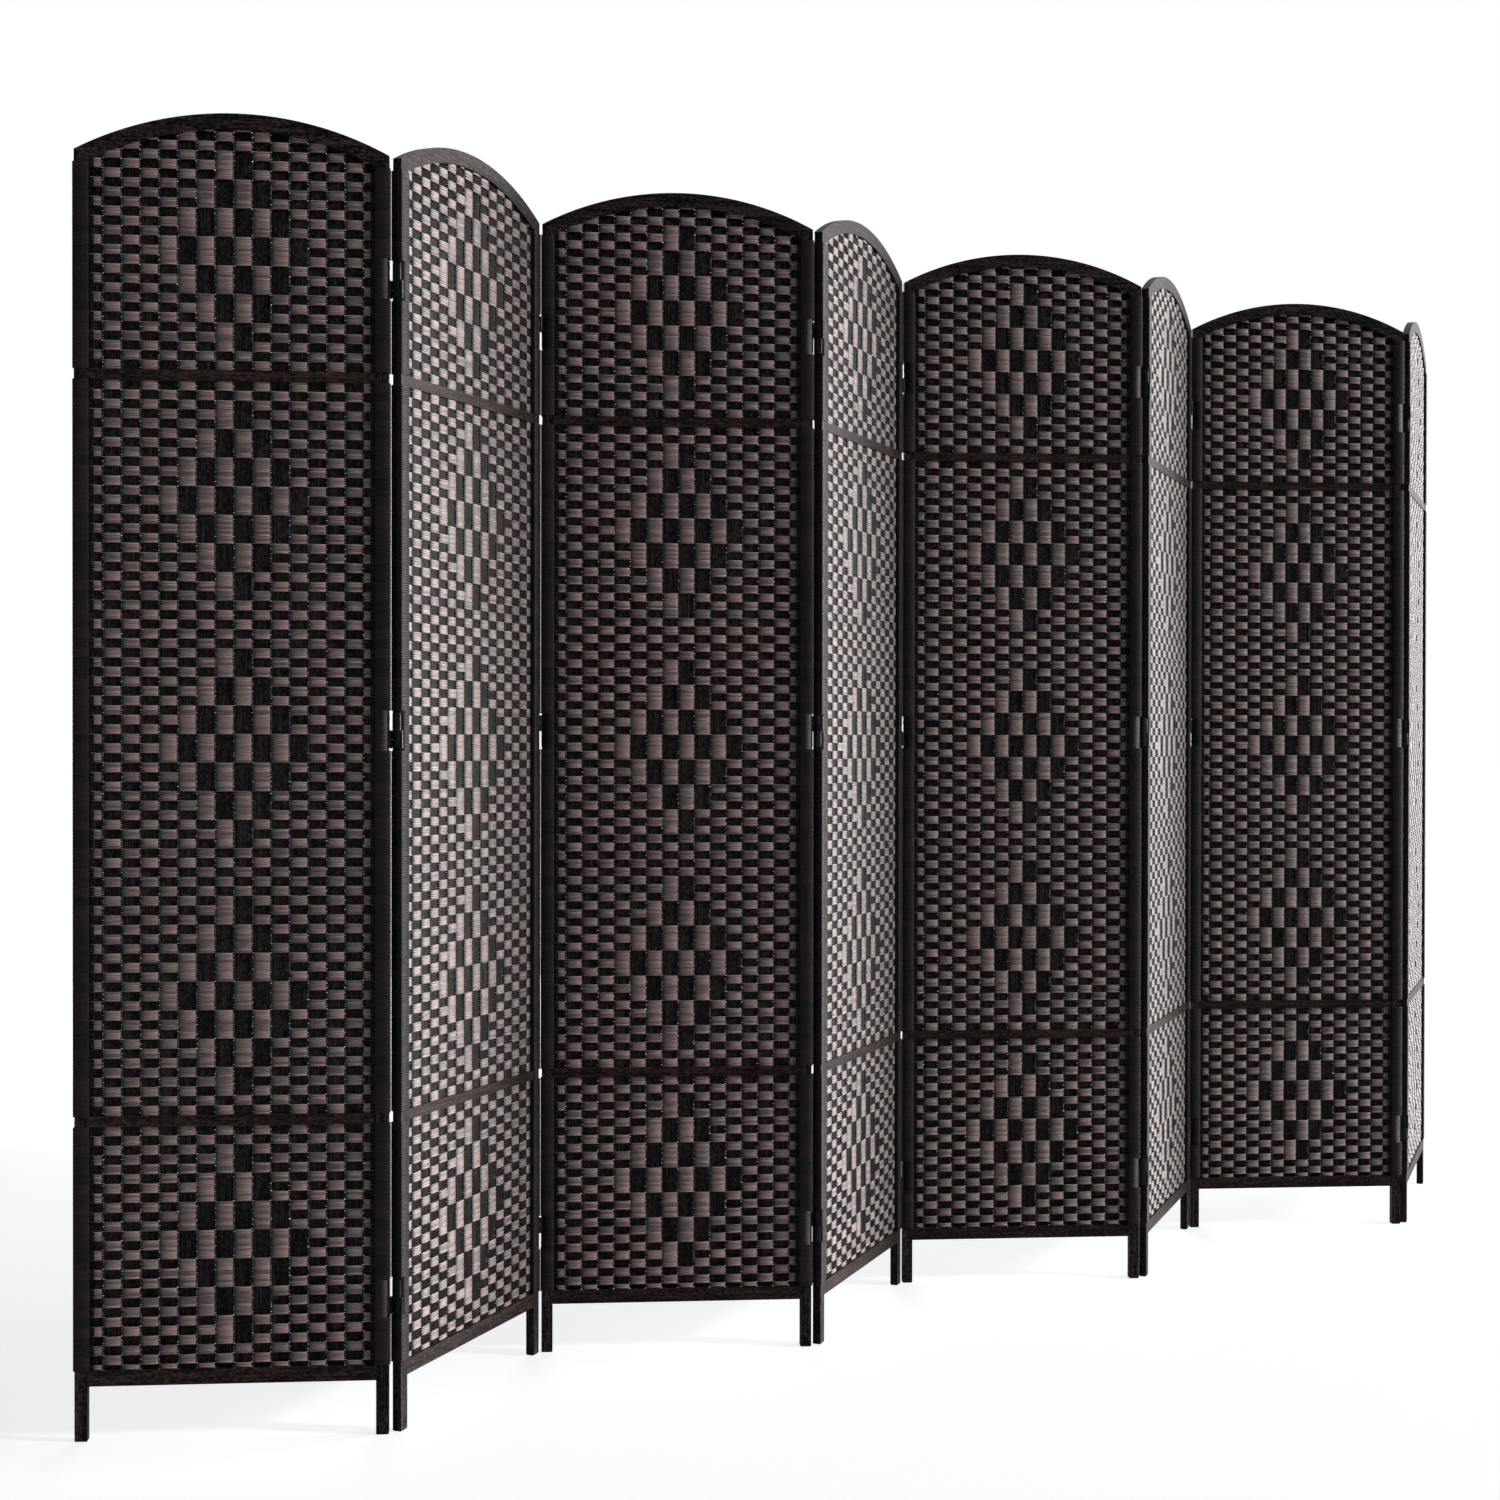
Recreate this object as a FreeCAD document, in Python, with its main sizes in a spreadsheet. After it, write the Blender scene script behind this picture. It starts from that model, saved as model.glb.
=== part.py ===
import FreeCAD, Part
import math
import os
import Sketcher

# Folding room divider: eight identical arched panels hinged edge to edge and standing in a
# zigzag. Row frame: +X along the row, +Y away from the viewer, +Z up, origin on the floor at
# the centre of the whole row. Panel frame: +X from the left stile to the right one, +Y to the
# back, origin on the floor midway between the stiles.

doc = FreeCAD.newDocument("FoldingScreen")
sheet = doc.addObject("Spreadsheet::Sheet", "sizes")

SIZES = [
    # whole panel
    ("overall_height", 1800.0),
    ("panel_width", 421.0),
    ("frame_thickness", 13.0),
    # stiles, with the small chamfer that keeps the feet from splintering
    ("stile_width", 17.2),
    ("foot_chamfer", 1.5),
    # arched top rail, mitred into the stiles
    ("arch_rise", 52.5),
    ("arch_rail_depth", 21.0),
    # straight rails: one solid bottom rail, two pairs of battens that clamp the slats
    ("bottom_rail_underside", 75.0),
    ("bottom_rail_height", 20.5),
    ("batten_height", 14.5),
    ("batten_thickness", 4.8),
    ("lower_batten_centre", 433.5),
    ("upper_field_height", 355.0),
    # flat vertical slats: the column beside each stile and the slat in it are shares of a pitch
    ("edge_column_share", 0.754),
    ("edge_slat_share", 0.4435),
    ("slat_gap", 1.6),
    ("slat_thickness", 1.2),
    ("slat_clearance", 0.1),
    # woven fibre skin over the slats and its wrapping round the stiles
    ("weave_thickness", 5.6),
    ("wrap_thickness", 1.6),
    ("wrap_below_mitre", 2.0),
    # two-way hinges
    ("panel_gap", 3.6),
    ("pin_proud", 1.8),
    ("hinge_height", 49.0),
    ("low_hinge_centre", 186.0),
    ("middle_hinge_centre", 964.0),
    ("high_hinge_depth", 220.0),
    ("leaf_thickness", 0.8),
    ("link_thickness", 0.8),
    ("knuckle_clearance", 0.4),
    ("knuckle_end_gap", 0.3),
    ("notch_margin", 2.0),
    ("notch_inset", 2.0),
    # rest pose: each panel is turned this many degrees from the line of the row
    ("rest_angle", 32.0),
    # length by which a cutting block runs past the piece it cuts
    ("overrun", 5.0),
]
SLATS = 14
PANELS = 8
BARREL_SIDES = 12

for row, (alias, value) in enumerate(SIZES, 1):
    sheet.set("A%d" % row, alias)
    sheet.set("B%d" % row, str(value))
    sheet.setAlias("B%d" % row, alias)
doc.recompute()


def size(alias):
    return float(sheet.get(alias))


# Expressions shared by several pieces.
HALF_WIDTH = "sizes.panel_width / 2"
HALF_DEPTH = "sizes.frame_thickness / 2"
STILE_INNER = "(sizes.panel_width / 2 - sizes.stile_width)"
CORNER_Z = "(sizes.overall_height - sizes.arch_rise)"
ARCH_RADIUS = "(((sizes.panel_width / 2) ^ 2 + sizes.arch_rise ^ 2) / (2 * sizes.arch_rise))"
ARCH_INNER = "(%s - sizes.arch_rail_depth)" % ARCH_RADIUS
ARCH_CENTRE_Z = "(sizes.overall_height - %s)" % ARCH_RADIUS
MITRE_Z = "(%s + sqrt(%s ^ 2 - %s ^ 2))" % (ARCH_CENTRE_Z, ARCH_INNER, STILE_INNER)
BOTTOM_TOP = "(sizes.bottom_rail_underside + sizes.bottom_rail_height)"
PIN_X = "((sizes.panel_width + sizes.panel_gap) / 2)"
PIN_Y = "(sizes.frame_thickness / 2 + sizes.pin_proud)"
KNUCKLE = "(sizes.panel_gap / 2)"
PLATE_REACH = "(%s - %s - sizes.knuckle_clearance)" % (PIN_Y, KNUCKLE)
SLOT_HALF = "(sizes.slat_thickness / 2 + sizes.slat_clearance)"
SLAT_PITCH = "(2 * %s / (%d + 2 * sizes.edge_column_share))" % (STILE_INNER, SLATS)
SLAT_WIDTH = "(%s - sizes.slat_gap)" % SLAT_PITCH
EDGE_SLAT_WIDTH = "(sizes.edge_slat_share * %s)" % SLAT_PITCH
FIELD_HALF = "(%d / 2 * %s + %s)" % (SLATS, SLAT_PITCH, EDGE_SLAT_WIDTH)
BATTEN_CENTRES = {
    "Lower": "sizes.lower_batten_centre",
    "Upper": "(sizes.overall_height - sizes.upper_field_height)",
}
HINGE_CENTRES = [
    "sizes.low_hinge_centre",
    "sizes.middle_hinge_centre",
    "(sizes.overall_height - sizes.high_hinge_depth)",
]


def bind(obj, **expressions):
    for name, expression in expressions.items():
        obj.setExpression(name.replace("_", ".") if name.startswith("Placement") else name, expression)
    return obj


def box(name, x, y, z, dx, dy, dz):
    """A block from corner (x, y, z) with the given sides, all of them expressions."""
    b = doc.addObject("Part::Box", name)
    bind(b, Length=dx, Width=dy, Height=dz)
    bind(b, Placement_Base_x=x, Placement_Base_y=y, Placement_Base_z=z)
    return b


def barrel(name, x, y, z, radius, length):
    """An upright hinge barrel standing on (x, y, z), drawn with BARREL_SIDES flats."""
    b = doc.addObject("Part::Prism", name)
    b.Polygon = BARREL_SIDES
    bind(b, Circumradius=radius, Height=length)
    bind(b, Placement_Base_x=x, Placement_Base_y=y, Placement_Base_z=z)
    return b


def fuse(name, pieces):
    f = doc.addObject("Part::MultiFuse", name)
    f.Shapes = pieces
    f.Refine = True
    return f


def cut(name, base, tools):
    c = doc.addObject("Part::Cut", name)
    c.Base = base
    c.Tool = tools[0] if len(tools) == 1 else group(name + "Tools", tools)
    c.Refine = True
    return c


def common(name, base, tool):
    c = doc.addObject("Part::Common", name)
    c.Base = base
    c.Tool = tool
    c.Refine = True
    return c


def group(name, pieces):
    g = doc.addObject("Part::Compound", name)
    g.Links = pieces
    return g


def plane(body, role):
    return next(f for f in body.Origin.OriginFeatures if f.Role == role)


def body_with_sketch(name, role):
    body = doc.addObject("PartDesign::Body", name)
    sketch = body.newObject("Sketcher::SketchObject", name + "Outline")
    sketch.AttachmentSupport = [(plane(body, role), "")]
    sketch.MapMode = "FlatFace"
    return body, sketch


def fix_point(sketch, geometry, point, x, z):
    """Ties one point of the sketch to the sheet: its distances from the sketch's origin."""
    for kind, expression in (("DistanceX", x), ("DistanceY", z)):
        here = sketch.getPoint(geometry, point)
        value = here.x if kind == "DistanceX" else here.y
        index = sketch.addConstraint(Sketcher.Constraint(kind, -1, 1, geometry, point, value))
        sketch.setExpression("Constraints[%d]" % index, expression)


def pad_both_ways(body, sketch, depth):
    pad = body.newObject("PartDesign::Pad", body.Name + "Pad")
    pad.Profile = sketch
    pad.SideType = "Symmetric"
    pad.setExpression("Length", depth)
    doc.recompute()
    return pad


# Numbers for the first drawing of each sketch; the constraints then hold the sheet's sizes.
half_width = size("panel_width") / 2
stile_inner = half_width - size("stile_width")
corner_z = size("overall_height") - size("arch_rise")
arch_radius = (half_width**2 + size("arch_rise") ** 2) / (2 * size("arch_rise"))
arch_inner = arch_radius - size("arch_rail_depth")
arch_centre_z = size("overall_height") - arch_radius
mitre_z = arch_centre_z + math.sqrt(arch_inner**2 - stile_inner**2)


def stile(name, side):
    """One stile seen from the front: square foot, top cut along the mitre; side is -1 or 1."""
    body, sketch = body_with_sketch(name, "XZ_Plane")
    corners = [
        (side * half_width, 0.0, "%d * %s" % (side, HALF_WIDTH), "0"),
        (side * stile_inner, 0.0, "%d * %s" % (side, STILE_INNER), "0"),
        (side * stile_inner, mitre_z, "%d * %s" % (side, STILE_INNER), MITRE_Z),
        (side * half_width, corner_z, "%d * %s" % (side, HALF_WIDTH), CORNER_Z),
    ]
    for i, (x, z, _, _) in enumerate(corners):
        nx, nz = corners[(i + 1) % len(corners)][:2]
        sketch.addGeometry(Part.LineSegment(FreeCAD.Vector(x, z, 0), FreeCAD.Vector(nx, nz, 0)))
    for i in range(len(corners)):
        sketch.addConstraint(Sketcher.Constraint("Coincident", i, 2, (i + 1) % len(corners), 1))
    for i, (_, _, x, z) in enumerate(corners):
        fix_point(sketch, i, 1, x, z)
    pad = pad_both_ways(body, sketch, "sizes.frame_thickness")
    foot = [
        "Edge%d" % (i + 1)
        for i, e in enumerate(pad.Shape.Edges)
        if all(abs(v.Z) < size("foot_chamfer") / 2 for v in e.Vertexes)
    ]
    chamfer = body.newObject("PartDesign::Chamfer", name + "Foot")
    chamfer.Base = (pad, foot)
    chamfer.setExpression("Size", "sizes.foot_chamfer")
    doc.recompute()
    return body


def arch_rail(name):
    """The curved top rail: two concentric arcs closed by the mitres."""
    body, sketch = body_with_sketch(name, "XZ_Plane")
    up = FreeCAD.Vector(0, 0, 1)
    centre = FreeCAD.Vector(0, arch_centre_z, 0)
    for radius, reach in ((arch_radius, half_width), (arch_inner, stile_inner)):
        low = math.acos(reach / radius)
        sketch.addGeometry(Part.ArcOfCircle(Part.Circle(centre, up, radius), low, math.pi - low))
    outer_right, outer_left = sketch.getPoint(0, 1), sketch.getPoint(0, 2)
    inner_right, inner_left = sketch.getPoint(1, 1), sketch.getPoint(1, 2)
    sketch.addGeometry(Part.LineSegment(outer_left, inner_left))
    sketch.addGeometry(Part.LineSegment(inner_right, outer_right))
    joins = [(0, 2, 2, 1), (2, 2, 1, 2), (1, 1, 3, 1), (3, 2, 0, 1), (0, 3, 1, 3)]
    for a, pa, b, pb in joins:
        sketch.addConstraint(Sketcher.Constraint("Coincident", a, pa, b, pb))
    fix_point(sketch, 0, 3, "0", ARCH_CENTRE_Z)
    for geometry, value, expression in ((0, arch_radius, ARCH_RADIUS), (1, arch_inner, ARCH_INNER)):
        index = sketch.addConstraint(Sketcher.Constraint("Radius", geometry, value))
        sketch.setExpression("Constraints[%d]" % index, expression)
    ends = [(0, 1, HALF_WIDTH), (0, 2, "-" + HALF_WIDTH), (1, 1, STILE_INNER), (1, 2, "-" + STILE_INNER)]
    for geometry, point, expression in ends:
        here = sketch.getPoint(geometry, point).x
        index = sketch.addConstraint(Sketcher.Constraint("DistanceX", -1, 1, geometry, point, here))
        sketch.setExpression("Constraints[%d]" % index, expression)
    pad_both_ways(body, sketch, "sizes.frame_thickness")
    return body


# Frame of one panel.
stiles = group("Stiles", [stile("StileLeft", -1), stile("StileRight", 1)])
arch = arch_rail("ArchRail")

rail_pieces = [
    box(
        "BottomRail",
        "-" + STILE_INNER,
        "-" + HALF_DEPTH,
        "sizes.bottom_rail_underside",
        "2 * " + STILE_INNER,
        "sizes.frame_thickness",
        "sizes.bottom_rail_height",
    )
]
for level, centre in BATTEN_CENTRES.items():
    for face, start in (("Front", "-%s - sizes.batten_thickness" % SLOT_HALF), ("Back", SLOT_HALF)):
        rail_pieces.append(
            box(
                level + face + "Batten",
                "-" + STILE_INNER,
                start,
                centre + " - sizes.batten_height / 2",
                "2 * " + STILE_INNER,
                "sizes.batten_thickness",
                "sizes.batten_height",
            )
        )
rails = group("CrossRails", rail_pieces)


def under_arch(name):
    """Everything inside the panel below the curved underside of the top rail."""
    block = box(
        name + "Block",
        "-" + HALF_WIDTH,
        "-" + HALF_DEPTH,
        "0",
        "sizes.panel_width",
        "sizes.frame_thickness",
        ARCH_CENTRE_Z,
    )
    drum = doc.addObject("Part::Cylinder", name + "Drum")
    bind(drum, Radius=ARCH_INNER, Height="sizes.frame_thickness")
    drum.Placement.Rotation = FreeCAD.Rotation(FreeCAD.Vector(1, 0, 0), -90)
    bind(drum, Placement_Base_y="-" + HALF_DEPTH, Placement_Base_z=ARCH_CENTRE_Z)
    return fuse(name, [block, drum])


arch_room = under_arch("ArchRoom")


def slat(name, left, wide):
    """A flat slat whose slanted top end reaches the curved rail at both of its corners."""
    right = "(%s + %s)" % (left, wide)
    w = doc.addObject("Part::Wedge", name)
    bind(w, Xmin="-sizes.slat_thickness / 2", X2min="-sizes.slat_thickness / 2")
    bind(w, Xmax="sizes.slat_thickness / 2", X2max="sizes.slat_thickness / 2")
    bind(w, Ymin="0", Ymax=wide, Zmin=BOTTOM_TOP, Z2min=BOTTOM_TOP)
    bind(w, Zmax="%s + sqrt(%s ^ 2 - %s ^ 2)" % (ARCH_CENTRE_Z, ARCH_INNER, left))
    bind(w, Z2max="%s + sqrt(%s ^ 2 - %s ^ 2)" % (ARCH_CENTRE_Z, ARCH_INNER, right))
    w.Placement.Rotation = FreeCAD.Rotation(FreeCAD.Vector(0, 0, 1), -90)
    bind(w, Placement_Base_x=left)
    return w


# Flat slats at an even pitch, a narrower one beside each stile, standing on the bottom rail
# between the battens and reaching the curved rail.
slat_pieces = [slat("Slat0", "(-%s)" % FIELD_HALF, EDGE_SLAT_WIDTH)]
for i in range(1, SLATS + 1):
    middle = "(%d - %d / 2 - 1 / 2) * %s" % (i, SLATS, SLAT_PITCH)
    slat_pieces.append(slat("Slat%d" % i, "(%s - %s / 2)" % (middle, SLAT_WIDTH), SLAT_WIDTH))
slat_pieces.append(slat("Slat%d" % (SLATS + 1), "(%s - %s)" % (FIELD_HALF, EDGE_SLAT_WIDTH), EDGE_SLAT_WIDTH))
slats = group("Slats", slat_pieces)


def weave_section(name, low, high, hinge, arched, hinged_sides):
    """The woven skin between two rails and the turns of its strands round both stiles.

    The skin is slotted for the slats, and a wrap is notched where a hinge is screwed on.
    """
    wrap_top = "(%s - sizes.wrap_below_mitre)" % MITRE_Z if arched else high
    skin = box(
        name + "Sheet",
        "sizes.wrap_thickness - " + STILE_INNER,
        "-sizes.weave_thickness / 2",
        low,
        "2 * (%s - sizes.wrap_thickness)" % STILE_INNER,
        "sizes.weave_thickness",
        "(%s) - (%s)" % (high, low),
    )
    if arched:
        skin = common(name + "ArchedSheet", skin, arch_room)
    slot = box(
        name + "Slot",
        "-%s - sizes.slat_clearance" % FIELD_HALF,
        "-" + SLOT_HALF,
        "(%s) - sizes.overrun" % low,
        "2 * (%s + sizes.slat_clearance)" % FIELD_HALF,
        "2 * " + SLOT_HALF,
        "(%s) - (%s) + 2 * sizes.overrun" % (high, low),
    )
    pieces = [cut(name + "Skin", skin, [slot])]
    for side, label in ((-1, "Left"), (1, "Right")):
        turn = box(
            name + label + "Turn",
            ("-%s - sizes.wrap_thickness" % HALF_WIDTH) if side < 0 else STILE_INNER + " - sizes.wrap_thickness",
            "-%s - sizes.wrap_thickness" % HALF_DEPTH,
            low,
            "sizes.stile_width + 2 * sizes.wrap_thickness",
            "sizes.frame_thickness + 2 * sizes.wrap_thickness",
            "(%s) - (%s)" % (wrap_top, low),
        )
        holes = [
            box(
                name + label + "StileHole",
                "-" + HALF_WIDTH if side < 0 else STILE_INNER,
                "-" + HALF_DEPTH,
                "(%s) - sizes.overrun" % low,
                "sizes.stile_width",
                "sizes.frame_thickness",
                "(%s) - (%s) + 2 * sizes.overrun" % (wrap_top, low),
            )
        ]
        if side in hinged_sides:
            reach = "(sizes.notch_inset + sizes.wrap_thickness + sizes.overrun)"
            start = "%s - sizes.notch_inset" % HALF_WIDTH
            holes.append(
                box(
                    name + label + "Notch",
                    "-(%s) - %s" % (start, reach) if side < 0 else start,
                    "-%s - sizes.wrap_thickness - sizes.overrun" % HALF_DEPTH,
                    "%s - sizes.hinge_height / 2 - sizes.notch_margin" % hinge,
                    reach,
                    "sizes.frame_thickness + 2 * (sizes.wrap_thickness + sizes.overrun)",
                    "sizes.hinge_height + 2 * sizes.notch_margin",
                )
            )
        pieces.append(cut(name + label + "Wrap", turn, holes))
    return pieces


def weave(name, hinged_sides):
    lower = BATTEN_CENTRES["Lower"] + " %s sizes.batten_height / 2"
    upper = BATTEN_CENTRES["Upper"] + " %s sizes.batten_height / 2"
    levels = [
        ("Bottom", BOTTOM_TOP, lower % "-", False),
        ("Middle", lower % "+", upper % "-", False),
        ("Top", upper % "+", "sizes.overall_height", True),
    ]
    pieces = []
    for (level, low, high, arched), hinge in zip(levels, HINGE_CENTRES):
        pieces += weave_section(name + level, low, high, hinge, arched, hinged_sides)
    return group(name, pieces)


weaves = {
    (1,): weave("WeaveHingedRight", (1,)),
    (-1, 1): weave("WeaveHingedBoth", (-1, 1)),
    (-1,): weave("WeaveHingedLeft", (-1,)),
}


# Two-way hinge: a leaf screwed to each stile, joined by a link with a pin line at the front
# and one at the back. The barrels of both pin lines take one half of the hinge's height, the
# lower or the upper one, and in the other half only the flat plates are left.
def barrel_levels(barrel_half):
    """Heights above the hinge's middle of the leaf's knuckle and of the link's knuckle."""
    length = "(sizes.hinge_height / 4 - sizes.knuckle_end_gap / 2)"
    if barrel_half == "Low":
        return "(-sizes.hinge_height / 2)", "(-sizes.hinge_height / 4 + sizes.knuckle_end_gap / 2)", length
    return "(sizes.hinge_height / 4 + sizes.knuckle_end_gap / 2)", "0", length


def leaf(name, side, barrel_half, centre):
    """Leaf of one hinge on a stile's edge; side -1 turns on the front pin, side 1 on the back."""
    level, _, length = barrel_levels(barrel_half)
    x = "-%s - sizes.leaf_thickness" % HALF_WIDTH if side < 0 else HALF_WIDTH
    plate = box(
        name + "Plate",
        x,
        "-" + PLATE_REACH,
        "%s - sizes.hinge_height / 2" % centre,
        "sizes.leaf_thickness",
        "2 * " + PLATE_REACH,
        "sizes.hinge_height",
    )
    tongue = box(
        name + "Tongue",
        x,
        "-" + PIN_Y if side < 0 else "0",
        "%s + %s" % (centre, level),
        "sizes.leaf_thickness",
        PIN_Y,
        length,
    )
    pin_x = "-" + PIN_X if side < 0 else PIN_X
    pin_y = "-" + PIN_Y if side < 0 else PIN_Y
    knuckle = barrel(name + "Knuckle", pin_x, pin_y, "%s + %s" % (centre, level), KNUCKLE, length)
    return fuse(name, [plate, tongue, knuckle])


def link(name, barrel_half, centre):
    """Middle plate of one hinge with a knuckle on each pin line, drawn about the joint's middle."""
    _, level, length = barrel_levels(barrel_half)
    plate = box(
        name + "Plate",
        "-sizes.link_thickness / 2",
        "-" + PLATE_REACH,
        "%s - sizes.hinge_height / 2" % centre,
        "sizes.link_thickness",
        "2 * " + PLATE_REACH,
        "sizes.hinge_height",
    )
    bar = box(
        name + "Bar",
        "-sizes.link_thickness / 2",
        "-" + PIN_Y,
        "%s + %s" % (centre, level),
        "sizes.link_thickness",
        "2 * " + PIN_Y,
        length,
    )
    knuckles = [
        barrel(name + label, "0", y, "%s + %s" % (centre, level), KNUCKLE, length)
        for label, y in (("Front", "-" + PIN_Y), ("Back", PIN_Y))
    ]
    return fuse(name, [plate, bar] + knuckles)


leaves = {}
links = {}
for half in ("Low", "High"):
    for side, label in ((-1, "Left"), (1, "Right")):
        leaves[side, half] = [
            leaf("Leaf%s%s%d" % (label, half, i), side, half, c) for i, c in enumerate(HINGE_CENTRES, 1)
        ]
    links[half] = [link("Link%s%d" % (half, i), half, c) for i, c in enumerate(HINGE_CENTRES, 1)]

# Which half of each hinge carries its barrels, from the first joint to the last.
BARREL_HALF = ["Low", "High", "High", "Low", "Low", "High", "High"]

# Layout of the row. The pin lines that are open at rest are the back one where two panels come
# forward and the front one where they go back; consecutive open pins are one span apart.
pin_y = size("frame_thickness") / 2 + size("pin_proud")
pin_x = (size("panel_width") + size("panel_gap")) / 2
turn = size("rest_angle")
span = 2 * math.hypot(pin_x, pin_y)
lean = math.radians(turn) - math.atan2(pin_y, pin_x)
step_x = span * math.cos(lean)
step_y = span * math.sin(lean)


def panel_placement(k):
    """Odd panels run forward to their right end, even ones run back."""
    odd = k % 2 == 1
    rotation = FreeCAD.Rotation(FreeCAD.Vector(0, 0, 1), -turn if odd else turn)
    pin = FreeCAD.Vector((k - PANELS / 2 - 1) * step_x, step_y / 2 if odd else -step_y / 2, 0)
    left_pin = FreeCAD.Vector(-pin_x, -pin_y if odd else pin_y, 0)
    return FreeCAD.Placement(pin - rotation.multVec(left_pin), rotation)


outputs = []


def place(name, pieces, placement):
    node = group(name.title().replace("_", ""), pieces)
    node.Label = name
    node.Placement = placement
    outputs.append(node)


for k in range(1, PANELS + 1):
    where = panel_placement(k)
    hinged = tuple(side for side in (-1, 1) if 1 <= k + (side - 1) // 2 < PANELS)
    fittings = []
    for side in hinged:
        joint = k + (side - 1) // 2
        fittings += leaves[side, BARREL_HALF[joint - 1]]
    place("panel_%d_stiles" % k, [stiles], where)
    place("panel_%d_arch_rail" % k, [arch], where)
    place("panel_%d_cross_rails" % k, [rails], where)
    place("panel_%d_slats" % k, [slats], where)
    place("panel_%d_weave" % k, [weaves[hinged]], where)
    place("panel_%d_hinge_leaves" % k, fittings, where)

# A link lies flat against the even panel of its joint, whose pin line is shut at rest.
for joint in range(1, PANELS):
    even = joint + joint % 2
    offset = FreeCAD.Vector(-pin_x if joint % 2 else pin_x, 0, 0)
    where = panel_placement(even).multiply(FreeCAD.Placement(offset, FreeCAD.Rotation()))
    place("hinge_links_%d_%d" % (joint, joint + 1), links[BARREL_HALF[joint - 1]], where)

doc.recompute()

for obj in doc.Objects:
    if "Invalid" in obj.State or "Error" in obj.State:
        raise RuntimeError("%s failed: %s" % (obj.Name, obj.State))
for node in outputs:
    if node.Shape.isNull() or not node.Shape.isValid():
        raise RuntimeError("%s has no valid shape" % node.Label)

os.makedirs("parts", exist_ok=True)
for node in outputs:
    node.Shape.exportStep("parts/%s.step" % node.Label)

print("panel step along the row %.3f mm, depth of the zigzag %.3f mm" % (step_x, step_y))
for joint in range(1, PANELS):
    x = (joint - PANELS / 2) * step_x
    y = -step_y / 2 if joint % 2 else step_y / 2
    even = joint + joint % 2
    where = panel_placement(even)
    shut = where.multVec(FreeCAD.Vector(-pin_x if joint % 2 else pin_x, -pin_y if joint % 2 else pin_y, 0))
    print("joint %d-%d open pin %.4f %.4f shut pin %.4f %.4f" % (joint, joint + 1, x, y, shut.x, shut.y))
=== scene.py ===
import functools
import math
import random

import bmesh
import bpy
import numpy as np
from mathutils import Matrix, Vector


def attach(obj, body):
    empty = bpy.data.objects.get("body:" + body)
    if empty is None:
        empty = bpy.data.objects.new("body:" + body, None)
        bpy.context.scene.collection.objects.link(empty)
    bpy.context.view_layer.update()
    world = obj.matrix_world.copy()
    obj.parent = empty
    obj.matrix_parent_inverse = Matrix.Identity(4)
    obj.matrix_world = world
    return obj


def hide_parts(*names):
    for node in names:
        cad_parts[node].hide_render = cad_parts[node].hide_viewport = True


# Folding room divider of eight panels. A panel's own frame: +X from its left stile to its right
# one, +Y to the back, origin on the floor midway between the stiles. Lengths are in millimetres
# until a mesh is made; the materials, the lamps and the camera are in metres.

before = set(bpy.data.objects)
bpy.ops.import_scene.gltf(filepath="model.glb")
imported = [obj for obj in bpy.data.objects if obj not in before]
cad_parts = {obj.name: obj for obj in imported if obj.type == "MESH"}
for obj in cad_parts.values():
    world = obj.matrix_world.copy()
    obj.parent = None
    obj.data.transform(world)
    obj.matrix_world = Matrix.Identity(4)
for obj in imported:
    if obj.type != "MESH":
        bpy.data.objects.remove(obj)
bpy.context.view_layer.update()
MM = 0.001
scene = bpy.context.scene

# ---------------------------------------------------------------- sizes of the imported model
PANELS = 8
PANEL_WIDTH, THICKNESS, STILE_WIDTH = 421.0, 13.0, 17.2
HALF_WIDTH = PANEL_WIDTH / 2
STILE_INNER = HALF_WIDTH - STILE_WIDTH
HEIGHT, ARCH_RISE, ARCH_DEPTH = 1800.0, 52.5, 21.0
ARCH_RADIUS = (HALF_WIDTH**2 + ARCH_RISE**2) / (2 * ARCH_RISE)
ARCH_INNER = ARCH_RADIUS - ARCH_DEPTH
ARCH_CENTRE = HEIGHT - ARCH_RADIUS
MITRE_Z = ARCH_CENTRE + math.sqrt(ARCH_INNER**2 - STILE_INNER**2)
BOTTOM_TOP, BATTEN_HALF = 95.5, 7.25
LOWER_BATTEN, UPPER_BATTEN = 433.5, 1445.0

SLATS = 14
EDGE_ROOM = 0.754  # pitches between the outermost boundary of two slats and the stile
EDGE_FLOAT = 0.4435  # pitches between that boundary and the place where a strand dives
PITCH = 2 * STILE_INNER / (SLATS + 2 * EDGE_ROOM)
FIELD_HALF = SLATS / 2 * PITCH
FIELD_EDGE = FIELD_HALF + EDGE_FLOAT * PITCH

GAP, PIN_PROUD, TURN = 3.6, 1.8, 32.0
PIN_X, PIN_Y = (PANEL_WIDTH + GAP) / 2, THICKNESS / 2 + PIN_PROUD
CENTRE_PANEL = 5  # the pin at this panel's left stands at x = 0
HINGE_HEIGHT, HINGE_CENTRES = 49.0, (186.0, 964.0, 1580.0)
BARREL_HALF = ("low", "high", "high", "low", "low", "high", "high")
KNUCKLE, PLATE = GAP / 2, 0.8
PLATE_REACH = PIN_Y - KNUCKLE - 0.4


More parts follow.
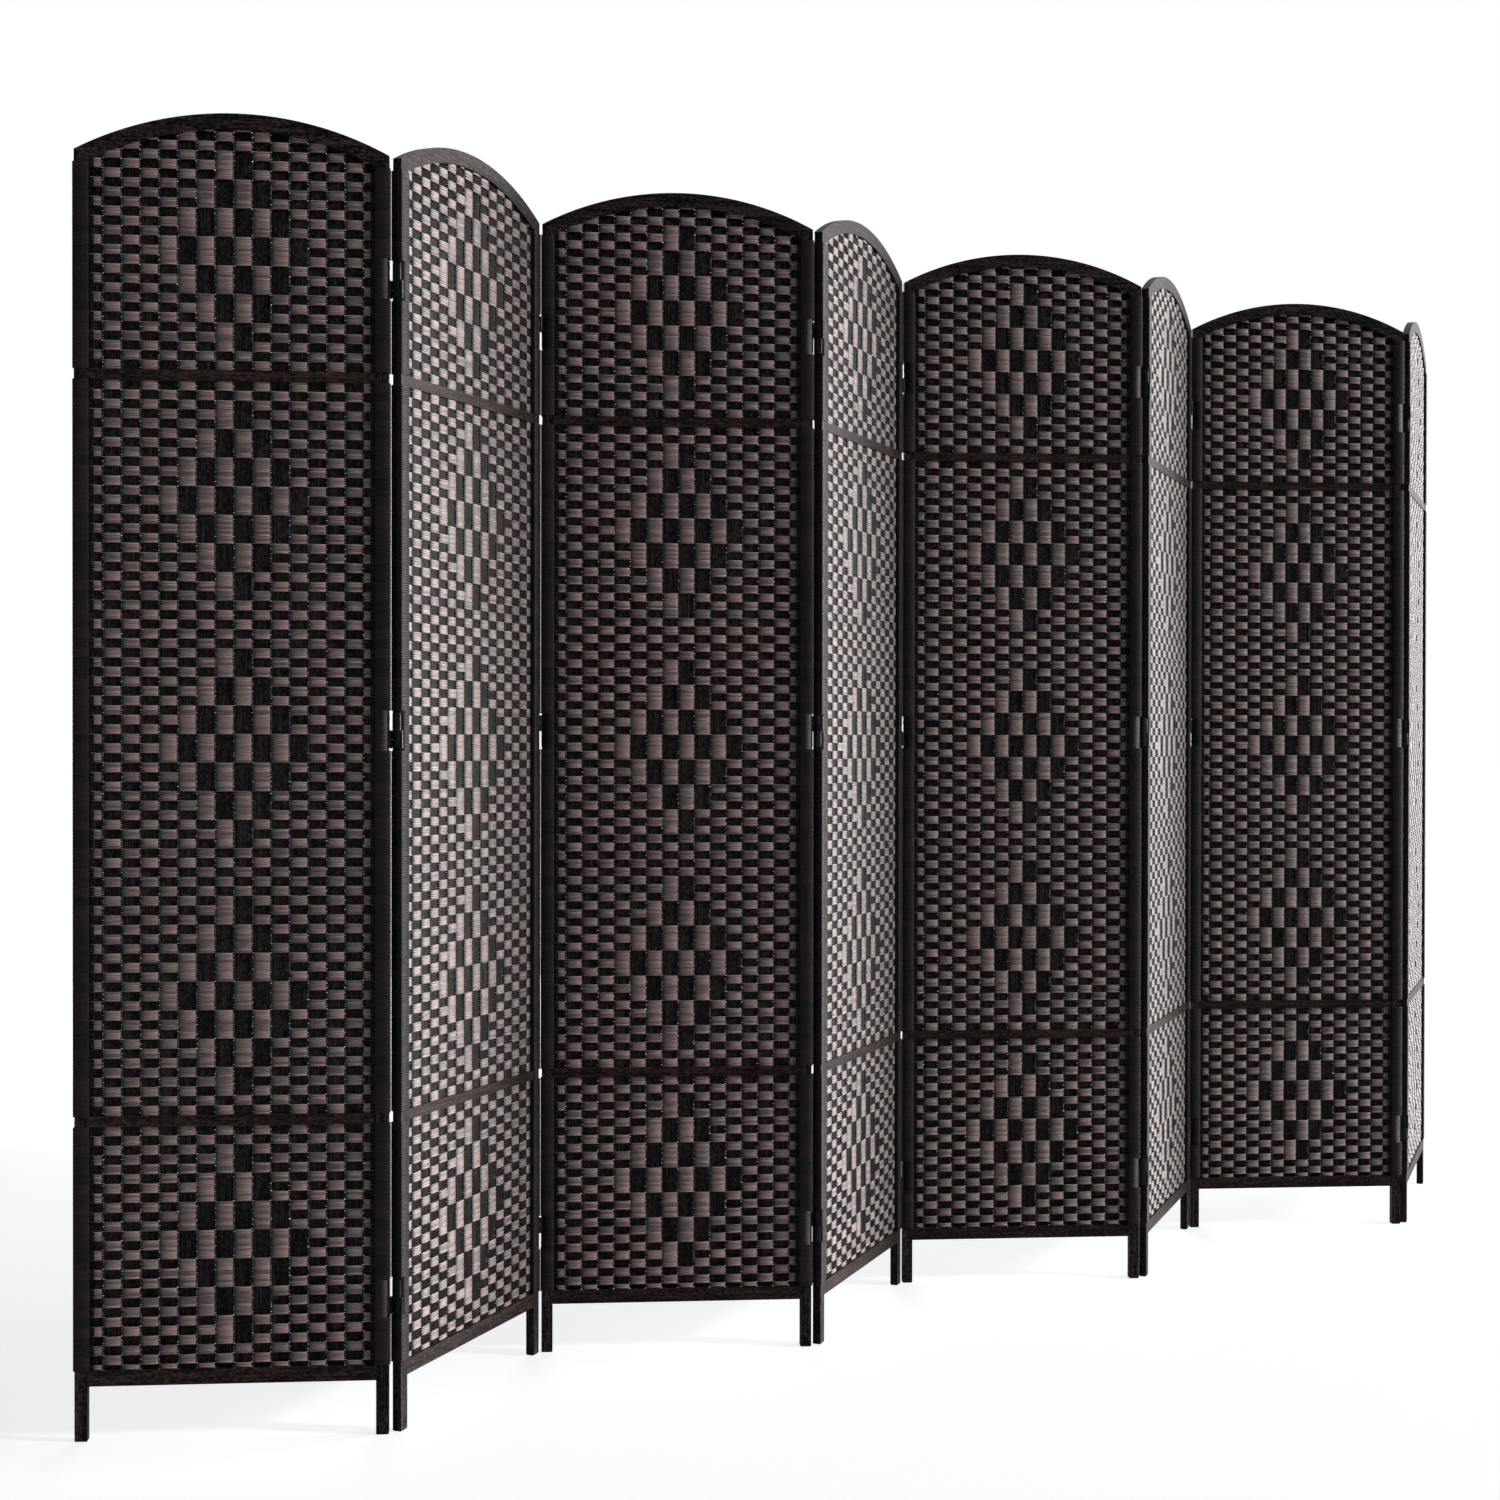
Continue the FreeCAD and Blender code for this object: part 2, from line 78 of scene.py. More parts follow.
def panel_matrix(k):
    """Where panel k stands: odd panels come forward to their right end, even ones go back."""
    odd = k % 2 == 1
    span = 2 * math.hypot(PIN_X, PIN_Y)
    lean = math.radians(TURN) - math.atan2(PIN_Y, PIN_X)
    pin_x = (k - CENTRE_PANEL) * span * math.cos(lean)
    pin_y = (0.5 if odd else -0.5) * span * math.sin(lean)
    turn = Matrix.Rotation(math.radians(-TURN if odd else TURN), 4, "Z")
    centre = Vector((pin_x, pin_y, 0)) - turn @ Vector((-PIN_X, -PIN_Y if odd else PIN_Y, 0))
    return Matrix.Translation(centre * MM) @ turn


def panel_joints(k):
    """Joint number at each hinged side of panel k; side -1 is its left edge and 1 its right."""
    return {side: joint for side, joint in ((-1, k - 1), (1, k)) if 1 <= joint < PANELS}


# ---------------------------------------------------------------- materials


def add_node(tree, kind, links=(), **settings):
    """Adds a node; a setting is one of its properties or an input, with _ for each space."""
    node = tree.nodes.new(kind)
    for key, value in settings.items():
        if hasattr(node, key):
            setattr(node, key, value)
        else:
            node.inputs[key.replace("_", " ")].default_value = value
    for socket, source in dict(links).items():
        tree.links.new(source, node.inputs[socket])
    return node


class Nodes:
    """Shorthand for one material's node tree; settings are inputs of its Principled shader."""

    def __init__(self, name, **settings):
        self.material = bpy.data.materials.new(name)
        self.material.use_nodes = True
        self.tree = self.material.node_tree
        self.shader = self.tree.nodes["Principled BSDF"]
        for socket, value in settings.items():
            self.shader.inputs[socket.replace("_", " ")].default_value = value

    def add(self, kind, links=(), **settings):
        return add_node(self.tree, kind, links, **settings)

    def link(self, source, socket):
        self.tree.links.new(source, self.shader.inputs[socket])

    def attribute(self, name):
        return self.add("ShaderNodeAttribute", attribute_name=name).outputs["Fac"]

    def coords(self, scale, turn=0.0):
        """Object coordinates turned about Z into the panel's frame, then stretched per axis."""
        place = self.add("ShaderNodeTexCoord").outputs["Object"]
        turned = self.add("ShaderNodeMapping", {"Vector": place}, vector_type="TEXTURE")
        turned.inputs["Rotation"].default_value = (0, 0, turn)
        stretched = self.add("ShaderNodeMapping", {"Vector": turned.outputs[0]})
        stretched.inputs["Scale"].default_value = scale
        return stretched.outputs[0]

    def noise(self, coords, detail=3.0, rough=0.55):
        links = {"Vector": coords}
        node = self.add("ShaderNodeTexNoise", links, Scale=1.0, Detail=detail, Roughness=rough)
        return node.outputs["Fac"]

    def math(self, operation, *values):
        node = self.add("ShaderNodeMath", operation=operation)
        for index, value in enumerate(values):
            if isinstance(value, (int, float)):
                node.inputs[index].default_value = value
            else:
                self.tree.links.new(value, node.inputs[index])
        return node.outputs[0]

    def weighted(self, first, *others):
        """Sum of (value, weight) pairs."""
        scaled = self.math("MULTIPLY", *first)
        return self.math("ADD", scaled, self.weighted(*others)) if others else scaled

    def remap(self, value, low, high, to_low=0.0, to_high=1.0):
        limits = {"From_Min": low, "From_Max": high, "To_Min": to_low, "To_Max": to_high}
        return self.add("ShaderNodeMapRange", {"Value": value}, **limits).outputs["Result"]

    def mix(self, factor, a, b):
        node = self.add("ShaderNodeMix", {"Factor": factor}, data_type="RGBA")
        for index, value in ((6, a), (7, b)):  # the colour inputs among the node's sockets
            if isinstance(value, tuple):
                node.inputs[index].default_value = (*value, 1)
            else:
                self.tree.links.new(value, node.inputs[index])
        return node.outputs[2]

    def bump(self, height, distance, strength):
        node = self.add("ShaderNodeBump", {"Height": height}, Distance=distance, Strength=strength)
        self.link(node.outputs[0], "Normal")


def srgb(*display):
    """Linear colour from 0-255 display values."""
    return tuple(
        c / 255 / 12.92 if c <= 10 else ((c / 255 + 0.055) / 1.055) ** 2.4 for c in display
    )


def stained_wood(name, tones, along, turn=0.0, roughness=(0.45, 0.65), sheen=0.02, spec=0.15):
    """Dark stained wood with open pores, grain lines along one axis and a thin dusty sheen."""
    m = Nodes(name, IOR=1.5, Specular_IOR_Level=spec, Sheen_Weight=sheen, Sheen_Roughness=0.4)

    def grain(lengthwise, across, **look):
        scale = tuple(lengthwise if axis == along else across for axis in "xyz")
        return m.noise(m.coords(scale, turn), **look)

    pores = grain(170.0, 360.0, rough=0.65)
    lines = grain(16.0, 500.0)
    bands = grain(3.0, 60.0)
    tone = m.weighted((pores, 0.5), (lines, 0.3), (bands, 0.2))
    m.link(m.mix(m.remap(tone, 0.46, 0.6), *tones), "Base Color")
    m.link(m.remap(tone, 0.35, 0.65, *roughness), "Roughness")
    m.bump(tone, distance=0.0008, strength=0.8)
    return m.material


# dark and light tone of each wood
FRAME_TONES = srgb(12, 10, 10), srgb(88, 75, 73)
RAIL_TONES = srgb(20, 14, 14), srgb(86, 67, 63)
SLAT_TONES = srgb(20, 19, 18), srgb(70, 64, 61)
# an arched or level rail's grain follows its panel
GRAIN_TURNS = {"odd": -math.radians(TURN), "even": math.radians(TURN)}

stile_wood = stained_wood("stile_wood", FRAME_TONES, "z")
arch_wood = [
    stained_wood("arch_wood_" + parity, FRAME_TONES, "x", turn)
    for parity, turn in GRAIN_TURNS.items()
]
rail_wood = [
    stained_wood("rail_wood_" + parity, RAIL_TONES, "x", turn)
    for parity, turn in GRAIN_TURNS.items()
]
slat_wood = stained_wood("slat_wood", SLAT_TONES, "z", roughness=(0.6, 0.75), sheen=0.0, spec=0.12)

PLY_PITCH, PLY_SLANT = 0.0024, 1.6
FULL_TURN = 6.3  # largest shift of the plies' phase from strand to strand


def fibre(name, low, high, recess, sheen, ior, gloss):
    """Twisted paper strands, glossier on the floats; painted shade darkens them where they dive.
    """
    m = Nodes(name, IOR=ior, Sheen_Weight=sheen, Sheen_Roughness=0.4)
    place = m.add("ShaderNodeTexCoord").outputs["Object"]
    x, y, z = m.add("ShaderNodeSeparateXYZ", {"Vector": place}).outputs
    strand, unshaded = m.attribute("strand"), m.attribute("unshaded")
    streaks = m.noise(m.coords((60.0, 700.0, 700.0)))
    blotch = m.noise(m.coords((26.0, 26.0, 26.0)), detail=2.0)
    tone = m.weighted((strand, 0.6), (streaks, 0.5), (blotch, 0.25))
    worn = m.mix(m.remap(tone, 0.38, 0.92), low, high)
    # painted shade: the unshaded attribute mixes in the dark recess colour where the strands dive
    # between slats, near the stiles and over the left part of each front float
    m.link(m.mix(m.remap(unshaded, 0.66, 1.0), recess, worn), "Base Color")
    m.link(m.remap(streaks, 0.3, 0.7, 0.45, 0.6), "Roughness")
    m.link(m.remap(unshaded, 0.45, 0.82, 0.05, gloss), "Specular IOR Level")
    run = m.math("ADD", m.math("ADD", x, y), m.math("MULTIPLY", z, PLY_SLANT))
    ply = m.math("SINE", m.weighted((run, 2 * math.pi / PLY_PITCH), (strand, FULL_TURN)))
    relief = m.math("ADD", m.math("MULTIPLY", ply, 0.25), streaks)
    m.bump(relief, distance=0.0003, strength=0.7)
    return m.material


# recess is the colour of the painted shade; the wraps' turns are all unshaded, so the wraps never
# show theirs
weft = fibre(
    "weft_fibre", low=srgb(98, 69, 66), high=srgb(196, 158, 153), recess=srgb(8, 5, 5),
    sheen=1.0, ior=1.8, gloss=1.0,
)
wrap_fibre = fibre(
    "wrap_fibre", low=srgb(13, 11, 12), high=srgb(52, 35, 35), recess=srgb(12, 10, 10),
    sheen=0.08, ior=1.5, gloss=0.35,
)


def enamel():
    """Black enamel, slightly rubbed."""
    m = Nodes("hinge_enamel", Metallic=0.0, Specular_IOR_Level=0.6)
    grain = m.noise(m.coords((1400.0, 1400.0, 1400.0)), detail=2.0)
    wear = m.noise(m.coords((160.0, 160.0, 160.0)), detail=4.0)
    m.link(m.mix(m.remap(wear, 0.55, 0.75), srgb(16, 15, 15), srgb(34, 32, 31)), "Base Color")
    m.link(m.remap(wear, 0.3, 0.7, 0.28, 0.45), "Roughness")
    m.bump(grain, distance=0.00008, strength=0.5)
    return m.material


def screw_steel():
    """Dull bare steel."""
    m = Nodes("screw_metal", Metallic=0.9)
    wear = m.noise(m.coords((300.0, 300.0, 300.0)))
    m.link(m.mix(m.remap(wear, 0.4, 0.7), srgb(60, 56, 52), srgb(104, 98, 90)), "Base Color")
    m.link(m.remap(wear, 0.3, 0.7, 0.3, 0.5), "Roughness")
    return m.material


hinge_metals = enamel(), screw_steel()

# ---------------------------------------------------------------- mesh building
BAKE_MARGIN = 0.002  # left free at both ends of a strip in its texture layout
BAND_START, BAND_SHARE = 0.08, 0.84  # part of a layout row that its strip takes


class Sheaf:
    """Collects strips, each skinned over a run of rings of points, and makes one mesh of them."""

    def __init__(self):
        self.points, self.quads, self.strips = [], [], []
        self.marks = {"strand": [], "unshaded": []}
        self.count = 0

    def add_strip(self, rings, strand, unshaded, closed=False):
        """Skins n rings of m points; strand is the strip's tone, unshaded per ring is 1 where no
        painted shade darkens it and 0 where it is darkest.
        """
        n, m = rings.shape[:2]
        self.points.append(rings.reshape(-1, 3))
        self.marks["strand"].append(np.full(n * m, strand))
        self.marks["unshaded"].append(np.repeat(np.clip(unshaded, 0, 1), m))
        self.strips.append((self.count, n, m, closed))
        i = np.arange(n if closed else n - 1)[:, None]
        here, there = self.count + i * m, self.count + (i + 1) % n * m
        j = np.arange(m)[None, :]
        after = (j + 1) % m
        quads = np.stack([here + j, here + after, there + after, there + j], -1)
        self.quads.append(quads.reshape(-1, 4))
        self.count += n * m

    def sweep(self, path, outward, profile, strand, unshaded, closed=False):
        """Sweeps profile points (up, out) along path; outward is the out direction per station."""
        up = profile[:, :1] * np.array((0.0, 0.0, 1.0))
        out = profile[None, :, 1:] * outward[:, None, :]
        self.add_strip(path[:, None, :] + up + out, strand, unshaded, closed)

    def build(self, name, material):
        points = np.concatenate(self.points) * MM
        quads = np.concatenate(self.quads)
        caps = []
        for start, n, m, closed in self.strips:
            if not closed:
                caps.append(np.arange(start + m - 1, start - 1, -1))
                caps.append(np.arange(start + (n - 1) * m, start + n * m))
        loops = np.concatenate([quads.reshape(-1)] + caps).astype(np.int32)
        sizes = np.array([4] * len(quads) + [len(cap) for cap in caps], np.int32)
        starts = (np.cumsum(sizes) - sizes).astype(np.int32)
        mesh = bpy.data.meshes.new(name)
        mesh.vertices.add(len(points))
        mesh.vertices.foreach_set("co", points.astype(np.float32).reshape(-1))
        mesh.loops.add(len(loops))
        mesh.loops.foreach_set("vertex_index", loops)
        mesh.polygons.add(len(sizes))
        mesh.polygons.foreach_set("loop_start", starts)
        mesh.polygons.foreach_set("use_smooth", np.ones(len(sizes), dtype=bool))
        for label, values in self.marks.items():
            layer = mesh.attributes.new(label, "FLOAT", "POINT")
            layer.data.foreach_set("value", np.concatenate(values).astype(np.float32))
        self.lay_out(mesh, loops)
        mesh.update(calc_edges=True)
        mesh.validate()
        mesh.materials.append(material)
        return mesh

    def lay_out(self, mesh, loops):
        """Texture layout for baking: a row per strip, its length along u and its rings up v."""
        u, v = np.zeros(self.count), np.zeros(self.count)
        for row, (start, n, m, _) in enumerate(self.strips):
            index = np.arange(n * m)
            along, around = (index // m) / max(n - 1, 1), (index % m) / m
            u[start + index] = BAKE_MARGIN + (1 - 2 * BAKE_MARGIN) * along
            v[start + index] = (row + BAND_START + BAND_SHARE * around) / len(self.strips)
        layer = mesh.uv_layers.new(name="OFBake")
        uv = np.stack([u[loops], v[loops]], -1).astype(np.float32)
        layer.data.foreach_set("uv", uv.reshape(-1))


# ---------------------------------------------------------------- pattern of the weave
# A column is the width of one slat; -1 and SLATS are the narrower ones beside the stiles. A small
# row is (parity, span): its strands pass in front of the columns of that parity, and from the
# span's first column to its last in front of the others. Three small rows make one row of a
# diamond: the middle one goes against its neighbours outside the diamond and with them inside,
# where the floats so join into tall ones.
# Bright columns of a diamond's seven rows; each one's right neighbour is the dark column.
DIAMOND = ((6,), (5, 7), (4, 6, 8), (3, 5, 7, 9), (4, 6, 8), (5, 7), (6,))


def diamond_rows():
    rows = []
    for index, bright in enumerate(DIAMOND):
        parity = index % 2
        span = bright[0], bright[-1] + 1
        rows += [(parity, None), (1 - parity, span), (parity, None)]
    return rows


def in_front(row, column):
    parity, span = row
    if span and span[0] <= column <= span[1]:
        parity = 1 - parity
    return (column - parity) % 2 == 0


EVEN_ROW, ODD_ROW = (0, None), (1, None)
LEAD_IN = [EVEN_ROW, ODD_ROW]
BETWEEN = [ODD_ROW, EVEN_ROW, ODD_ROW, EVEN_ROW, ODD_ROW]
SHORT = LEAD_IN + diamond_rows() + [ODD_ROW, EVEN_ROW, ODD_ROW, EVEN_ROW]
LONG = LEAD_IN + 2 * (diamond_rows() + BETWEEN) + diamond_rows() + LEAD_IN[::-1]
# lowest and highest point of each woven section, its small rows, and which way they are counted
SECTIONS = {
    "bottom": (BOTTOM_TOP, LOWER_BATTEN - BATTEN_HALF, SHORT, -1),
    "middle": (LOWER_BATTEN + BATTEN_HALF, UPPER_BATTEN - BATTEN_HALF, LONG, 1),
    "top": (UPPER_BATTEN + BATTEN_HALF, HEIGHT, SHORT, 1),
}

STRANDS = 4  # in one small row
ROW = (UPPER_BATTEN - LOWER_BATTEN - 2 * BATTEN_HALF) / len(LONG)
STRAND_PITCH = ROW / STRANDS
LEVEL_MARGIN = 0.6


def strand_levels(low, high, direction):
    """Number and height of each strand of a section; they are counted from the batten."""
    start = low if direction > 0 else high
    number = 0
    while True:
        z = start + direction * (number + 0.5) * STRAND_PITCH
        if not low + LEVEL_MARGIN < z < high - LEVEL_MARGIN:
            return
        yield number, z
        number += 1


# ---------------------------------------------------------------- strands across the slats
FLOAT_Y = 2.2  # a strand's lift: its distance from the panel's middle plane
# half the height of a strand and of its flat faces, and half its thickness
HALF_HIGH, FLAT_HIGH, HALF_THICK = 1.64, 0.95, 1.1
STRAND_PROFILE = np.array([
    (HALF_HIGH, 0), (FLAT_HIGH, HALF_THICK), (-FLAT_HIGH, HALF_THICK),
    (-HALF_HIGH, 0), (-FLAT_HIGH, -HALF_THICK), (FLAT_HIGH, -HALF_THICK),
])
RIM = STILE_INNER - 1.0
# how far a strand ends inside the curved rail; least half length; room left beside that end
ARCH_TUCK, SHORTEST, END_ROOM = 2.5, 8.0, 1.0
# beside the stiles: (place along X, share of lift, unshaded, where 0 is full painted shade)
LEFT_END = (
    (-RIM, 0.0, 0.0), (-FIELD_EDGE - 1.2, 0.8, 0.1), (-FIELD_EDGE + 1.6, 1.0, 0.9),
    (-FIELD_HALF - 1.5, 1.0, 1.0),
)
RIGHT_END = (
    (FIELD_HALF + 2.6, 1.0, 0.95), (FIELD_EDGE - 0.6, 1.0, 0.8), (FIELD_EDGE + 1.2, 0.7, 0.0),
    (RIM, 0.0, 0.0),
)
# A strand's way across a boundary of two slats, when it stays on its side, rises to the front or
# dives to the back, and then up to its float: (distance past the boundary, share of lift,
# unshaded); painted shade darkens the strand in these gaps
LEVEL, RISING, DIVING = (0.8, 0.9, 0.8), (0.5, 0.5, 0.0), (1.3, 0.2, 0.0)
FRONT_FLANK, BACK_FLANK = (2.0, 0.7, 0.62), (2.6, 0.72, 0.84)
# crests of a float: (share of the pitch, least unshaded, most unshaded); a front float's first
# crest gets painted shade, so its left part is painted darker
FRONT_CRESTS, BACK_CRESTS = ((0.28, 0.76, 0.88), (0.55, 0.9, 1.0)), ((0.44, 0.88, 1.0),)
BOW = (1.24, 1.36)  # share of lift at the crests
SHOULDER = (0.6, 1.15, 1.0)  # (distance before the next boundary, share of lift, unshaded)
# random strays: of a boundary along X, of a strand's lift and height, of a station's height
STRAY_X, STRAY_LIFT, STRAY_Z, WAVER = 0.25, 0.14, 0.1, 0.2
FULLNESS = (0.8, 1.15)  # of a strand's thickness


def strand_stations(sides, lift, rng):
    """Stations (x, distance in front, unshaded) of a strand; a side is 1 in front and -1 behind.
    """
    stations = [(x, sides[0] * lift * share, unshaded) for x, share, unshaded in LEFT_END]
    for column in range(SLATS + 1):
        x = (column - SLATS / 2) * PITCH + rng.uniform(-STRAY_X, STRAY_X)
        before, after = sides[column], sides[column + 1]
        past, share, unshaded = LEVEL if before == after else RISING if after > 0 else DIVING
        stations.append((x + past, before * lift * share, unshaded))
        if column == SLATS:
            break
        flank, crests = (FRONT_FLANK, FRONT_CRESTS) if after > 0 else (BACK_FLANK, BACK_CRESTS)
        past, share, unshaded = flank
        stations.append((x + past, after * lift * share, unshaded))
        bow = lift * rng.uniform(*BOW)
        for share, least, most in crests:
            stations.append((x + PITCH * share, after * bow, rng.uniform(least, most)))
        short, share, unshaded = SHOULDER
        stations.append((x + PITCH - short, after * lift * share, unshaded))
    return stations + [(x, sides[-1] * lift * share, unshaded) for x, share, unshaded in RIGHT_END]


def arch_reach(z):
    """Half the width of the room under the curved rail at height z."""
    if z <= ARCH_CENTRE:
        return math.inf
    if z >= ARCH_CENTRE + ARCH_INNER:
        return 0.0
    return math.sqrt(ARCH_INNER**2 - (z - ARCH_CENTRE) ** 2)


def under_arch(stations, z):
    """The stations that fit under the curved rail at height z, with both ends tucked into it."""
    reach = arch_reach(z) + ARCH_TUCK
    if reach >= RIM:
        return stations
    if reach < SHORTEST:
        return []
    inside = [station for station in stations if abs(station[0]) < reach - END_ROOM]
    return [(-reach, *inside[0][1:]), *inside, (reach, *inside[-1][1:])]


def weft_section(name, section, start, end):
    """Strands of a section between two heights, over or under each slat as their row says."""
    low, high, rows, direction = SECTIONS[section]
    rng = random.Random("weft " + name)
    sheaf = Sheaf()
    for number, z in strand_levels(low, high, direction):
        if not start <= z < end:
            continue
        row = rows[min(number // STRANDS, len(rows) - 1)]
        sides = [1 if in_front(row, column) else -1 for column in range(-1, SLATS + 1)]
        lift = FLOAT_Y + rng.uniform(-STRAY_LIFT, STRAY_LIFT)
        drift = rng.uniform(-STRAY_Z, STRAY_Z)
        stations = under_arch(strand_stations(sides, lift, rng), z)
        if not stations:
            continue
        xs, fronts, unshaded = np.array(stations, float).T
        zs = z + drift + np.array([rng.uniform(-WAVER, WAVER) for _ in xs])
        outward = np.tile((0.0, -1.0, 0.0), (len(xs), 1))
        profile = STRAND_PROFILE * (1, rng.uniform(*FULLNESS))
        sheaf.sweep(np.stack([xs, -fronts, zs], -1), outward, profile, rng.random(), unshaded)
    return sheaf.build("weave_" + name, weft)


# ---------------------------------------------------------------- wraps round the stiles
WRAP_HALF = STRAND_PITCH / 2 + 0.02
WRAP_PROFILE = np.array([
    (WRAP_HALF, 0.3), (1.25, 0.54), (0.0, 0.6), (-1.25, 0.54), (-WRAP_HALF, 0.3),
])
# how far a turn stands off the stile, what its row adds at most, and its own random change
WRAP_THICK, WRAP_PUFF, WRAP_UNEVEN = 1.12, 0.035, (-0.03, 0.015)
WRAP_STRAY_Z, WRAP_OWN_TONE = 0.12, 0.25  # share of a turn's tone that is its own, not its row's
WRAP_END = 2.0  # below the mitre of the arch
CORNER_CUT, CORNER_LEAN = 0.12, 0.95  # chamfer of a turn's corner; slant of its outward directions
NOTCH_MARGIN, NOTCH_INSET = 2.0, 2.0  # room left above and below a hinge, and beside it


def wrap_ring(side, thick, notched):
    """Path and outward directions of one turn round the stile, seen from above."""
    x0, x1, y1 = STILE_INNER - thick, HALF_WIDTH + thick, THICKNESS / 2 + thick
    loop = []
    for x, y, sx, sy in ((x1, -y1, 1, -1), (x0, -y1, -1, -1), (x0, y1, -1, 1), (x1, y1, 1, 1)):
        end = (x - sx * CORNER_CUT, y, sx * CORNER_LEAN, sy)
        flank = (x, y - sy * CORNER_CUT, sx, sy * CORNER_LEAN)
        loop += [flank, end] if (sx > 0) == (sy < 0) else [end, flank]
    if notched:
        stop = HALF_WIDTH - NOTCH_INSET
        kept = [point for point in loop if point[0] < stop]
        loop = [(stop, -y1, 0.0, -1.0), *kept, (stop, y1, 0.0, 1.0)]
    flat = np.array(loop, float)
    flat[:, (0, 2)] *= side
    return flat[:, :2], flat[:, 2:]


def beside_hinge(z):
    return any(abs(z - centre) < HINGE_HEIGHT / 2 + NOTCH_MARGIN for centre in HINGE_CENTRES)


@functools.cache
def wrap_set(hinged):
    """The turns of the strands round both stiles, left open where a hinge is screwed on."""
    sheaf = Sheaf()
    rng = random.Random("wrap")
    for low, high, _, direction in SECTIONS.values():
        top = min(high, MITRE_Z - WRAP_END)
        for side in (-1, 1):
            profile = WRAP_PROFILE if side < 0 else WRAP_PROFILE[::-1]
            for number, z in strand_levels(low, top, direction):
                if number % STRANDS == 0:
                    puff = rng.random()
                thick = WRAP_THICK + WRAP_PUFF * puff + rng.uniform(*WRAP_UNEVEN)
                notched = side in hinged and beside_hinge(z)
                points, normals = wrap_ring(side, thick, notched)
                n = len(points)
                drift = rng.uniform(-WRAP_STRAY_Z, WRAP_STRAY_Z)
                path = np.column_stack([points, np.full(n, z + drift)])
                outward = np.column_stack([normals, np.zeros(n)])
                tone = WRAP_OWN_TONE * rng.random() + (1 - WRAP_OWN_TONE) * puff
                sheaf.sweep(path, outward, profile, tone, np.ones(n), closed=not notched)
    names = ["left" if side < 0 else "right" for side in hinged]
    return sheaf.build("_".join(["stile_wraps", *names]), wrap_fibre)


# ---------------------------------------------------------------- slats
SLAT_THICK, SLAT_ROUND = 0.65, 0.9  # half the thickness; width of the rounded edge
SLAT_START, SLAT_END = 2.2, 0.1  # from a boundary to the next slat's edge and to the last one's
STILE_SETBACK = 0.2
SLAT_LEVELS = (BOTTOM_TOP - 1, LOWER_BATTEN, 760, 1100, UPPER_BATTEN, 1640)
ARCH_OVERLAP = 1.5
SLAT_STRAY = 0.05  # random bow of a slat


def slat_outline(half):
    """Section of a flat slat whose two long edges are rounded, seen from above."""
    turns = [math.radians(degrees) for degrees in range(0, 181, 30)]
    edge = [
        (half - SLAT_ROUND + SLAT_ROUND * math.sin(a), -SLAT_THICK * math.cos(a)) for a in turns
    ]
    return np.array(edge + [(-x, -y) for x, y in edge])


def slat_set():
    """Flat slats with rounded long edges, their slanted tops tucked into the curved rail."""
    sheaf = Sheaf()
    rng = random.Random("slats")
    boundaries = [(i - SLATS / 2) * PITCH for i in range(SLATS + 1)]
    starts = [-STILE_INNER + STILE_SETBACK] + [x + SLAT_START for x in boundaries]
    ends = [x + SLAT_END for x in boundaries] + [STILE_INNER - STILE_SETBACK]
    for left, right in zip(starts, ends):
        outline = slat_outline((right - left) / 2)
        bow = rng.uniform(-SLAT_STRAY, SLAT_STRAY)
        xs, ys = outline[:, 0] + (left + right) / 2, outline[:, 1]
        rings = [
            np.column_stack([xs + bow * (i % 2), ys, np.full(len(xs), z)])
            for i, z in enumerate(SLAT_LEVELS)
        ]
        tops = ARCH_CENTRE + np.sqrt(ARCH_INNER**2 - xs**2) + ARCH_OVERLAP
        rings.append(np.column_stack([xs, ys, tops]))
        sheaf.add_strip(np.stack(rings), rng.random(), np.ones(len(rings)))
    return sheaf.build("slats", slat_wood)


# ---------------------------------------------------------------- woven panels


def place_piece(name, mesh, at, body, node):
    """Adds a piece that rides on a body and is seen in place of a CAD node."""
    piece = bpy.data.objects.new(name, mesh)
    scene.collection.objects.link(piece)
    piece.matrix_world = at
    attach(piece, body)
    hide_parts(node)


def place_on_panel(k, name, mesh, node):
    panel = "panel_%d" % k
    place_piece(
        "%s_%s" % (panel, name), mesh, panel_matrix(k), panel, "%s_%s" % (panel, node)
    )


# the middle section is split at half its height, so that neither mesh grows too large
MIDDLE = (LOWER_BATTEN + UPPER_BATTEN) / 2
weave_meshes = {
    "weave_bottom": weft_section("bottom", "bottom", 0.0, HEIGHT),
    "weave_middle_lower": weft_section("middle_lower", "middle", 0.0, MIDDLE),
    "weave_middle_upper": weft_section("middle_upper", "middle", MIDDLE, HEIGHT),
    "weave_top": weft_section("top", "top", 0.0, HEIGHT),
}
slat_mesh = slat_set()
for k in range(1, PANELS + 1):
    for name, mesh in weave_meshes.items():
        place_on_panel(k, name, mesh, "weave")
    place_on_panel(k, "stile_wraps", wrap_set(tuple(panel_joints(k))), "weave")
    place_on_panel(k, "slat_set", slat_mesh, "slats")

# ---------------------------------------------------------------- finishes of the CAD nodes


def finish_node(name, material):
    mesh = bpy.data.objects[name].data
    mesh.materials.clear()
    mesh.materials.append(material)


for k in range(1, PANELS + 1):
    finish_node("panel_%d_stiles" % k, stile_wood)
    finish_node("panel_%d_arch_rail" % k, arch_wood[(k + 1) % 2])
    finish_node("panel_%d_cross_rails" % k, rail_wood[(k + 1) % 2])

